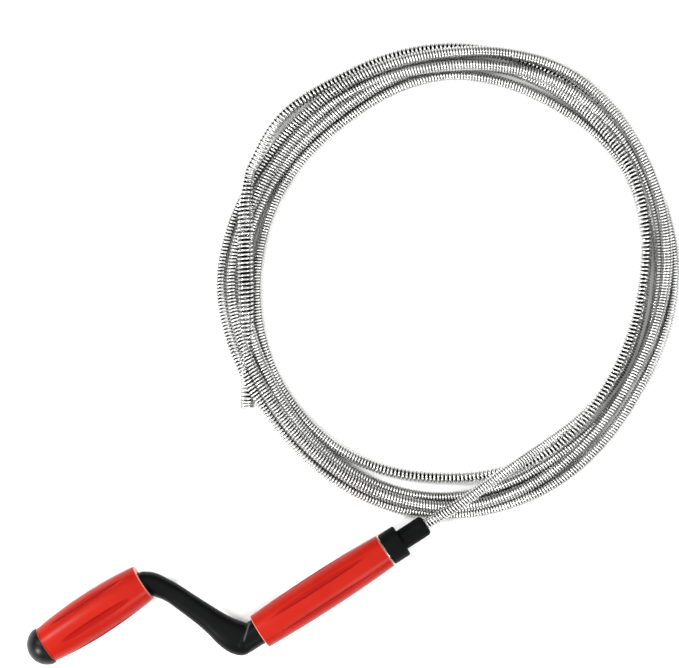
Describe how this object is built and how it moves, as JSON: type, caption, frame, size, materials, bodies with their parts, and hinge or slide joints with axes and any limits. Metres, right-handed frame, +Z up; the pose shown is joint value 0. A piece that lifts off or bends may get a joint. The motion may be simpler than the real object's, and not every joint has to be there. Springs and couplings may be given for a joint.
{
  "type": "drain snake",
  "caption": "Hand-cranked drain snake with red grips, a black cranked arm and a coiled steel spring cable with a widened auger head.",
  "frame": {"origin": "under the middle of the cranked handle, on the surface it lies on", "axes": "+X along the handle towards the cable, +Y from the main grip's axis to the crank grip's axis, +Z up"},
  "size_m": [0.5911, 0.3488, 0.034],
  "materials": {
    "red_grip": "satin",
    "black_plastic": "satin",
    "spring_steel": "gloss",
    "plated_steel": "satin",
    "nylon": "matte"
  },
  "bodies": {
    "crank": {"crank_arm": "black_plastic", "collar": "black_plastic", "nose_sleeve": "black_plastic", "spindle_tube": "plated_steel", "spindle_roll_pin": "plated_steel", "crank_pin": "plated_steel", "crank_pin_roll_pin": "plated_steel", "rear_thrust_washer": "plated_steel", "front_thrust_washer": "plated_steel", "collar_set_screw": "plated_steel", "cable_clamp_screws": "plated_steel", "crank_washer": "plated_steel", "crank_retaining_screw": "plated_steel", "cable_inner_end": "spring_steel", "cable_lead": "spring_steel", "cable_coil": "spring_steel", "auger_head": "spring_steel"},
    "main_grip_sleeve": {"main_grip": "red_grip", "main_grip_rear_bush": "nylon", "main_grip_front_bush": "nylon"},
    "crank_grip_sleeve": {"crank_grip": "red_grip", "crank_grip_inner_bush": "nylon", "crank_grip_outer_bush": "nylon", "end_cap": "black_plastic"}
  },
  "joints": [
    {"name": "main_grip_spin", "type": "hinge", "parent": "crank", "child": "main_grip_sleeve", "pos_m": [0.05865, -0.04025, 0.0148], "axis": [1, 0, 0], "continuous": true},
    {"name": "crank_grip_spin", "type": "hinge", "parent": "crank", "child": "crank_grip_sleeve", "pos_m": [-0.09425, 0.03805, 0.017], "axis": [1, 0, 0], "continuous": true}
  ]
}
